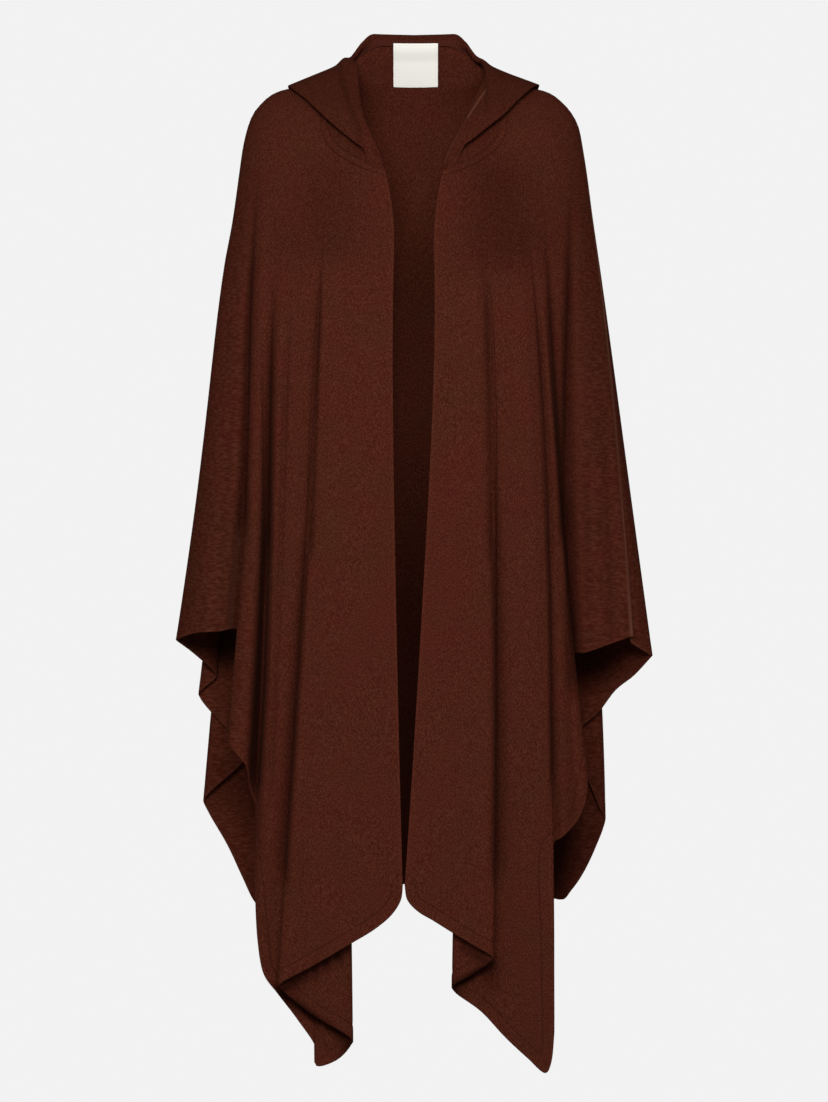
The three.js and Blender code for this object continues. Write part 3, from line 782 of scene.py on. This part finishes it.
back_lines = [fold_line(RIGHT, "back", BACK_RIGHT, row, LEVELS) for row in BACK_RIGHT[:0:-1]]
back_lines += [fold_line(LEFT, "back", BACK_LEFT, row, LEVELS) for row in BACK_LEFT]
back_grid = smooth_across(np.stack(back_lines, axis=1), BACK_PITCH)
back_painted_shade = press(back_grid, BACK_CREASES)
back_normals = surface_normals(back_grid)
for edge_column in (0, -1):
    back_grid[:, edge_column, 1] += SEAM / 2
    back_normals[:, edge_column, 1] = 0
    back_normals[:, edge_column] /= np.linalg.norm(back_normals[:, edge_column], axis=1, keepdims=True)
from_back_hem = distance_to(back_grid, back_grid[-1])
back_middle = int(np.argmin(np.abs(back_grid[-1, :, 0])))
back_sleeve = np.clip((np.abs(back_grid[..., 0]) - SLEEVE_FROM) / SLEEVE_OVER, 0, 1)
# Painted shade on the inside of the back: darker towards the bottom near the middle, where the front
# opening lets it be seen.
back_low = np.clip((-back_grid[..., 2] - 430) / 260, 0, 1)
back_shade = 0.55 * back_low * np.exp(-((back_grid[..., 0] / 60) ** 2))
back_shade = np.maximum(back_shade, press(back_grid.copy(), BACK_SHADES))
back = cloth_wall(
    "back_cloth",
    back_grid,
    back_normals,
    hem_thickness(from_back_hem, back_sleeve),
    {
        "from_hem": from_back_hem,
        "from_edge": np.full(back_grid.shape[:2], FAR),
        "sleeve": back_sleeve,
        "worn": np.zeros(back_grid.shape[:2]),
        "from_neck": np.full(back_grid.shape[:2], FAR),
        # Painted shade: along the folds outside, and inside also the back's lower middle and below the
        # cuffs.
        "painted_shade": (back_painted_shade, np.maximum(back_painted_shade, back_shade)),
    },
    laid_flat(back_grid, back_middle, 1),
)
back.data.materials.append(wool)
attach(back, "root")
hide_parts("back")


# ---- hood ---------------------------------------------------------------------------------------
# The hood lies down. Each half is one piece of the same knit, sewn to the neckline from the front
# edge to the nape and to the other half along its middle: it stands up from the seam, rolls over
# outward, and hangs as an empty bag behind, with its face edge uppermost.

HOOD_COLUMNS = ["at", "rollX", "rollY", "rollZ", "edgeX", "edgeY", "edgeZ"]
HOOD_FRONT_RIGHT = table(
    HOOD_COLUMNS,
    [0, 38.5, -109, -132, 43, -114, -130],
    [0.15, 45, -107, -116, 56, -113, -118],
    [0.3, 54, -100, -96, 72, -108, -107],
    [0.45, 63, -88, -76, 92, -96, -90],
    [0.6, 68, -70, -55, 113, -82, -70],
    [0.75, 71, -40, -28, 137, -53, -44],
    [0.9, 74, -2, 4, 154, -27, -28],
    [1, 82, 21, 12, 161, 6, -20],
)
HOOD_FRONT_LEFT = table(
    HOOD_COLUMNS,
    [0, 37.5, -109, -132, 42, -114, -130],
    [0.15, 43, -107, -117, 53, -113, -116],
    [0.3, 52, -100, -99, 72, -107, -103],
    [0.45, 61, -88, -82, 89, -96, -88],
    [0.6, 70, -72, -63, 111, -81, -69],
    [0.75, 81, -47, -37, 134, -53, -43],
    [0.9, 92, -13, -10, 151, -28, -26],
    [1, 90, 18, 6, 160, 6, -19],
)
HOOD_BACK = table(
    HOOD_COLUMNS + ["baseX", "baseY", "baseZ"],
    [1.25, 77, 43, 24, 156, 52, -23, 150, 58, -54],
    [1.5, 66, 57, 42.5, 126, 104, -22, 118, 104, -128],
    [1.75, 50, 69, 54, 72, 146, -26, 66, 138, -206],
    [2, 0, 77, 54, 0, 160, -34, 0, 147, -240],
)
HOOD_TURN = 7
HOOD_SHARES = [0.15, 0.35, 0.58, 0.8]
HOOD_SWELL = 5
HOOD_CLEAR = 8
HOOD_OVER = 0.2
HOOD_BELLY = 16
HOOD_STAND = 3
HOOD_GAP = 0.8


def hood_profile(side, front, at):
    """The hood from its seam to its face edge, at one place along the neck."""
    stations = front + HOOD_BACK

    def read(name):
        return column(stations, "at", at, name)

    face, place = ("front", at) if at <= 1 else ("back", 2 - at)
    neck_z, neck_share, seam = neckline(side, face, place)
    rows = FRONT_RIGHT if face == "front" else BACK_RIGHT
    inner, outer = rows[0]["top"], rows[-1]["top"]
    end_share = min(1.0, mix(inner, outer, place) / outer)
    drop = mix(0.05, shoulder_drop(side, 0.05), place**2)
    share = mix(neck_share, end_share, 1 - 0.95**2)
    out = seam - on_yoke(side, face, share, mix(neck_z, YOKE_Z, drop))
    out = out / np.linalg.norm(out)
    roll = np.array([side * read("rollX"), read("rollY"), read("rollZ")])
    edge = np.array([side * read("edgeX"), read("edgeY"), read("edgeZ")])
    outward = np.array([0, roll[1] - 10, roll[2] + 60])
    outward = outward / np.linalg.norm(outward) * HOOD_TURN / 2
    roll_in, roll_out = roll - outward, roll + outward
    bag = []
    for part in HOOD_SHARES:
        point = mix(roll_out, edge, part)
        point[2] += HOOD_SWELL * 4 * part * (1 - part) * 4 * at * max(0.0, 1 - at)
        bag.append(point)
    behind = max(0.0, at - 1)
    if behind > 0:
        first = {"at": 1, "baseX": abs(bag[2][0]), "baseY": bag[2][1], "baseZ": bag[2][2]}
        rows_behind = [first] + HOOD_BACK
        base = np.array([column(rows_behind, "at", at, name) for name in ("baseX", "baseY", "baseZ")])
        base[0] *= side

        def clear_of_back(point):
            share_out = min(1.0, abs(point[0]) / half_width(side, point[2]))
            cloth_y = on_yoke(side, "back", share_out, point[2])[1]
            point[1] = max(point[1], mix(point[1], cloth_y + HOOD_CLEAR, min(1.0, behind * 4)))
            return point

        over = clear_of_back(mix(roll_out, base, HOOD_OVER))
        inside = clear_of_back(mix(roll_out, base, 0.5))
        outside = mix(base, edge, 0.5)
        outside[1] += HOOD_BELLY * behind
        whole = min(1.0, behind * 4)
        bag = [mix(a, b, whole) for a, b in zip(bag, (over, inside, base, outside))]
    return [seam + out * HOOD_GAP, seam + out * HOOD_STAND, roll_in, roll_out] + bag + [edge]


HOOD_PLACES = list(np.linspace(0, 2, 121))


def depth_on(grid, x, z):
    """The depth of a sheet behind a place seen from the front, or none where it doesn't reach."""
    corners = [grid[:-1, :-1], grid[1:, :-1], grid[1:, 1:], grid[:-1, 1:]]
    for picked in ((0, 1, 2), (0, 2, 3)):
        a, b, c = (corners[k].reshape(-1, 3) for k in picked)
        ax, az = a[:, 0] - x, a[:, 2] - z
        bx, bz = b[:, 0] - x, b[:, 2] - z
        cx, cz = c[:, 0] - x, c[:, 2] - z
        wa, wb, wc = bx * cz - bz * cx, cx * az - cz * ax, ax * bz - az * bx
        whole = wa + wb + wc
        whole[whole == 0] = 1e-12
        hit = np.flatnonzero(np.minimum(np.minimum(wa / whole, wb / whole), wc / whole) >= -1e-9)
        if len(hit):
            k = hit[0]
            return (wa[k] * a[k, 1] + wb[k] * b[k, 1] + wc[k] * c[k, 1]) / whole[k]
    return None


HOOD_FLAT = 0.11
HOOD_TAPERS = 0.25
HOOD_ROLLED = 0.3
HOOD_THIN = 0.4
HOOD_ON_PANEL = 0.1
HOOD_PITCH = 5
# Painted shade: the whole hood's colour is darkened at least this much.
HOOD_SHADE = 0.16


def lie_down(grid, panel_grid):
    """Lays the front end of the hood flat over the neck seam, so that its edge runs out into the panel."""
    thickness = np.full(grid.shape[:2], CLOTH)
    steps = np.linspace(0, 1, grid.shape[1])
    rolled = int(np.searchsorted(steps, HOOD_ROLLED))
    below_seam = panel_grid[1]
    for row, at in enumerate(HOOD_PLACES):
        if at >= HOOD_TAPERS:
            break
        ease = min(1.0, (HOOD_TAPERS - at) / (HOOD_TAPERS - HOOD_FLAT))
        ease = ease * ease * (3 - 2 * ease)
        seam, roll, edge = grid[row, 0].copy(), grid[row, rolled].copy(), grid[row, -1].copy()
        reach = abs(mix(seam[0], edge[0], min(1.0, at / HOOD_FLAT)))
        foot = np.array([np.interp(reach, np.abs(below_seam[:, 0]), below_seam[:, k]) for k in range(3)])
        foot[1] -= CLOTH / 2 + HOOD_ON_PANEL
        for step in range(rolled, grid.shape[1]):
            way = (steps[step] - steps[rolled]) / (1 - steps[rolled])
            share = min(1.0, way * 2) * ease
            sunk = min(1.0, share * 2.5)
            flat = mix(roll, foot, way)
            grid[row, step, [0, 2]] = mix(grid[row, step, [0, 2]], flat[[0, 2]], share)
            grid[row, step, 1] = mix(grid[row, step, 1], flat[1], sunk)
            thickness[row, step] = mix(CLOTH, HOOD_THIN, sunk)
    return thickness


def lay_hood_half(name, side, front, panel_grid, creases, lumps, worn):
    profiles = np.array([hood_profile(side, front, at) for at in HOOD_PLACES])
    grid = smooth_across(profiles, HOOD_PITCH)
    painted_shade = press(grid, creases)
    for lump in lumps:
        away = np.hypot(grid[..., 0] - lump["x"], grid[..., 2] - lump["z"]) / lump["reach"]
        grid[..., 2] += lump["up"] * np.exp(-(away**2))
    thickness = lie_down(grid, panel_grid)
    grid[-1, :, 0] = side * SEAM / 2
    normals = surface_normals(grid)
    normals[-1, :, 0] = 0
    normals[-1] /= np.linalg.norm(normals[-1], axis=1, keepdims=True)
    far = np.full(grid.shape[:2], FAR)
    readings = {"from_hem": far, "from_edge": far, "sleeve": np.zeros(grid.shape[:2])}
    readings["worn"] = worn_lines(grid, worn)
    # Painted shade along the hood's folds and over the whole hood.
    readings["painted_shade"] = np.maximum(painted_shade, HOOD_SHADE)
    half = cloth_wall(name, grid, normals, thickness, readings, laid_flat(grid, 0, side))
    half.data.materials.append(wool)
    return half, grid, normals


LUMP_COLUMNS = ["x", "z", "reach", "up"]
# The dark column is shade painted along the hood's fold.
HOOD_RIGHT_CREASES = table(
    CREASE_COLUMNS,
    [-97, 14, -68, -88, -3, 4, 2.2, 18, 4, 0.34],
)
HOOD_RIGHT_LUMPS = table(LUMP_COLUMNS, [-89, 10, 8, 6])

hood_right, hood_grid_right, hood_normals_right = lay_hood_half(
    "hood_right_cloth", RIGHT, HOOD_FRONT_RIGHT, front_grid_right, HOOD_RIGHT_CREASES, HOOD_RIGHT_LUMPS, []
)
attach(hood_right, "root")
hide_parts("hood_right")

# The dark column is shade painted along the hood's fold.
HOOD_LEFT_CREASES = table(
    CREASE_COLUMNS,
    [89, 12, 91, -30, 0, 3.5, 1.5, 8, 3, 0.36],
)
HOOD_LEFT_LUMPS = table(LUMP_COLUMNS, [86, 9, 8, 4])
# Painted highlight along the left hood's roll edge.
HOOD_LEFT_HIGHLIGHTS = table(
    HIGHLIGHT_COLUMNS,
    [91, -33, 68, -73, 0, 1.3, 0.6],
    [68, -73, 37, -136, -2, 1.3, 0.14],
)

hood_left, hood_grid_left, hood_normals_left = lay_hood_half(
    "hood_left_cloth",
    LEFT,
    HOOD_FRONT_LEFT,
    front_grid_left,
    HOOD_LEFT_CREASES,
    HOOD_LEFT_LUMPS,
    HOOD_LEFT_HIGHLIGHTS,
)
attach(hood_left, "root")
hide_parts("hood_left")


# ---- neck tape ----------------------------------------------------------------------------------
# A ribbed cord-like tape in the cloth's own brown, sewn round the inside of the back neckline over
# the seam that joins the hood to the back.

TAPE = 1.0
TAPE_REACH = 0.5
TAPE_SHARE = 0.85
TAPE_STEPS = 13


def inside_stand(side, front, grid, normals):
    """The hood's stand behind the neck, moved in by the tape's distance, row by row to the nape."""
    lines = []
    for at, line, normal in zip(HOOD_PLACES, grid, normals):
        if at < 2 - TAPE_REACH - 1e-6:
            continue
        roll_in = hood_profile(side, front, at)[2]
        reach = int(np.argmin(np.linalg.norm(line - roll_in, axis=1)))
        lengths = np.linalg.norm(np.diff(line[: reach + 1], axis=0), axis=1)
        walked = np.concatenate([[0], lengths.cumsum()])
        stops = np.linspace(0, TAPE_SHARE, TAPE_STEPS) * walked[-1]
        points = np.stack([np.interp(stops, walked, line[: reach + 1, k]) for k in range(3)], axis=1)
        turned = np.stack([np.interp(stops, walked, normal[: reach + 1, k]) for k in range(3)], axis=1)
        turned[:, 2] = 0
        turned /= np.linalg.norm(turned, axis=1, keepdims=True)
        inward = np.sign((turned * -points).sum(axis=1, keepdims=True))
        lines.append(points + turned * inward * (CLOTH / 2 + 2 * SEAM + TAPE / 2))
    return lines


tape_right = inside_stand(RIGHT, HOOD_FRONT_RIGHT, hood_grid_right, hood_normals_right)
tape_left = inside_stand(LEFT, HOOD_FRONT_LEFT, hood_grid_left, hood_normals_left)
tape_grid = np.array(tape_right + tape_left[-2::-1])
tape_grid[len(tape_right) - 1, :, 0] = 0
tape_far = np.full(tape_grid.shape[:2], FAR)
tape = cloth_wall(
    "neck_tape_cord",
    tape_grid,
    surface_normals(tape_grid),
    np.full(tape_grid.shape[:2], TAPE),
    {"from_hem": tape_far, "from_edge": tape_far},
    laid_flat(tape_grid, 0, 1),
)

tape_finish, tape_surface = new_finish("tape_cord", Roughness=0.9)
tape_surface.inputs["Specular IOR Level"].default_value = 0.08
tape_cut = Reading.node("ShaderNodeUVMap", {"uv_map": "cut"})
tape_along = Reading.node("ShaderNodeSeparateXYZ", {}, {"Vector": tape_cut}, out=1)
rib = (tape_along * (2 * math.pi / 0.0032)).sums("SINE") * 0.5 + 0.5
connect(tape_surface, "Base Color", shade((0.030, 0.0056, 0.0034, 1), (0.066, 0.014, 0.0085, 1), rib))
tape_bump = Reading.node("ShaderNodeBump", {}, {"Height": rib, "Strength": 0.6, "Distance": 0.0006})
connect(tape_surface, "Normal", tape_bump)
tape.data.materials.append(tape_finish)
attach(tape, "root")
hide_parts("neck_tape")


# ---- label --------------------------------------------------------------------------------------
# A blank cream label of woven satin ribbon, sewn over the tape at its top and hanging against the
# inside of the back.

LABEL_CLOTH = 0.8
LABEL_WIDE, LABEL_HIGH = 57.5, 54
LABEL_MIDDLE, LABEL_TOP = 2.2, 45
LABEL_TAPE_END = 0.4
LABEL_ROWS, LABEL_STEPS = 37, 31
LABEL_STITCH = 2.4

label_grid = np.zeros((LABEL_ROWS, LABEL_STEPS, 3))
for row, v in enumerate(np.linspace(0, 1, LABEL_ROWS)):
    for step, u in enumerate(np.linspace(0, 1, LABEL_STEPS)):
        x = LABEL_MIDDLE + (u - 0.5) * LABEL_WIDE
        z = LABEL_TOP - v * LABEL_HIGH
        on_tape, on_back = depth_on(tape_grid, x, z), depth_on(back_grid, x, z)
        if on_tape is not None:
            y = on_tape - TAPE - 2 * SEAM - LABEL_CLOTH / 2
        elif on_back is not None:
            over_tape = 2.4 * TAPE * min(1.0, max(0.0, 2 * (1 - v / LABEL_TAPE_END)))
            y = on_back - CLOTH / 2 - 3 * SEAM - LABEL_CLOTH / 2 - over_tape
        else:
            y = label_grid[row - 1, step, 1]
        label_grid[row, step] = (x, y, z)
for _ in range(3):
    label_grid[1:-1, :, 1] = (label_grid[:-2, :, 1] + 2 * label_grid[1:-1, :, 1] + label_grid[2:, :, 1]) / 4
label_u, label_v = np.meshgrid(np.linspace(0, 1, LABEL_STEPS), np.linspace(0, 1, LABEL_ROWS))
from_side = np.minimum(label_u, 1 - label_u) * LABEL_WIDE
from_end = np.minimum(label_v, 1 - label_v) * LABEL_HIGH
label_in = np.minimum(from_side, from_end)
label_far = np.full(label_grid.shape[:2], FAR)
label = cloth_wall(
    "label_ribbon",
    label_grid,
    surface_normals(label_grid),
    LABEL_CLOTH - 0.3 * np.exp(-(((label_in - LABEL_STITCH) / 0.9) ** 2)),
    {"from_hem": label_in, "from_edge": label_far},
    np.stack([label_u * LABEL_WIDE, -label_v * LABEL_HIGH], axis=-1),
)

label_finish, label_surface = new_finish("label_satin", Roughness=0.6)
label_surface.inputs["Specular IOR Level"].default_value = 0.25
label_cut = Reading.node("ShaderNodeUVMap", {"uv_map": "cut"})
label_level = Reading.node("ShaderNodeMapping", {}, {"Vector": label_cut, "Scale": (500, 1900, 1)})
weave = noise(label_level, 1.0, 1.0)
label_edge = carried("from_hem")
label_across = Reading.node("ShaderNodeSeparateXYZ", {}, {"Vector": label_cut}, out=0)
label_down = Reading.node("ShaderNodeSeparateXYZ", {}, {"Vector": label_cut}, out=1)
dashes = ((label_across + label_down) * (2 * math.pi / 0.0026)).sums("SINE").held()
thread = label_edge.bump(LABEL_STITCH, 0.7) * dashes
satin = shade((0.70, 0.68, 0.62, 1), (0.80, 0.785, 0.73, 1), weave)
connect(label_surface, "Base Color", shade(satin, (0.5, 0.47, 0.4, 1), thread * 0.6))
label_bump = Reading.node(
    "ShaderNodeBump", {}, {"Height": weave * 0.4 + thread * 0.6, "Strength": 0.35, "Distance": 0.0005}
)
connect(label_surface, "Normal", label_bump)
label.data.materials.append(label_finish)
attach(label, "root")
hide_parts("label")
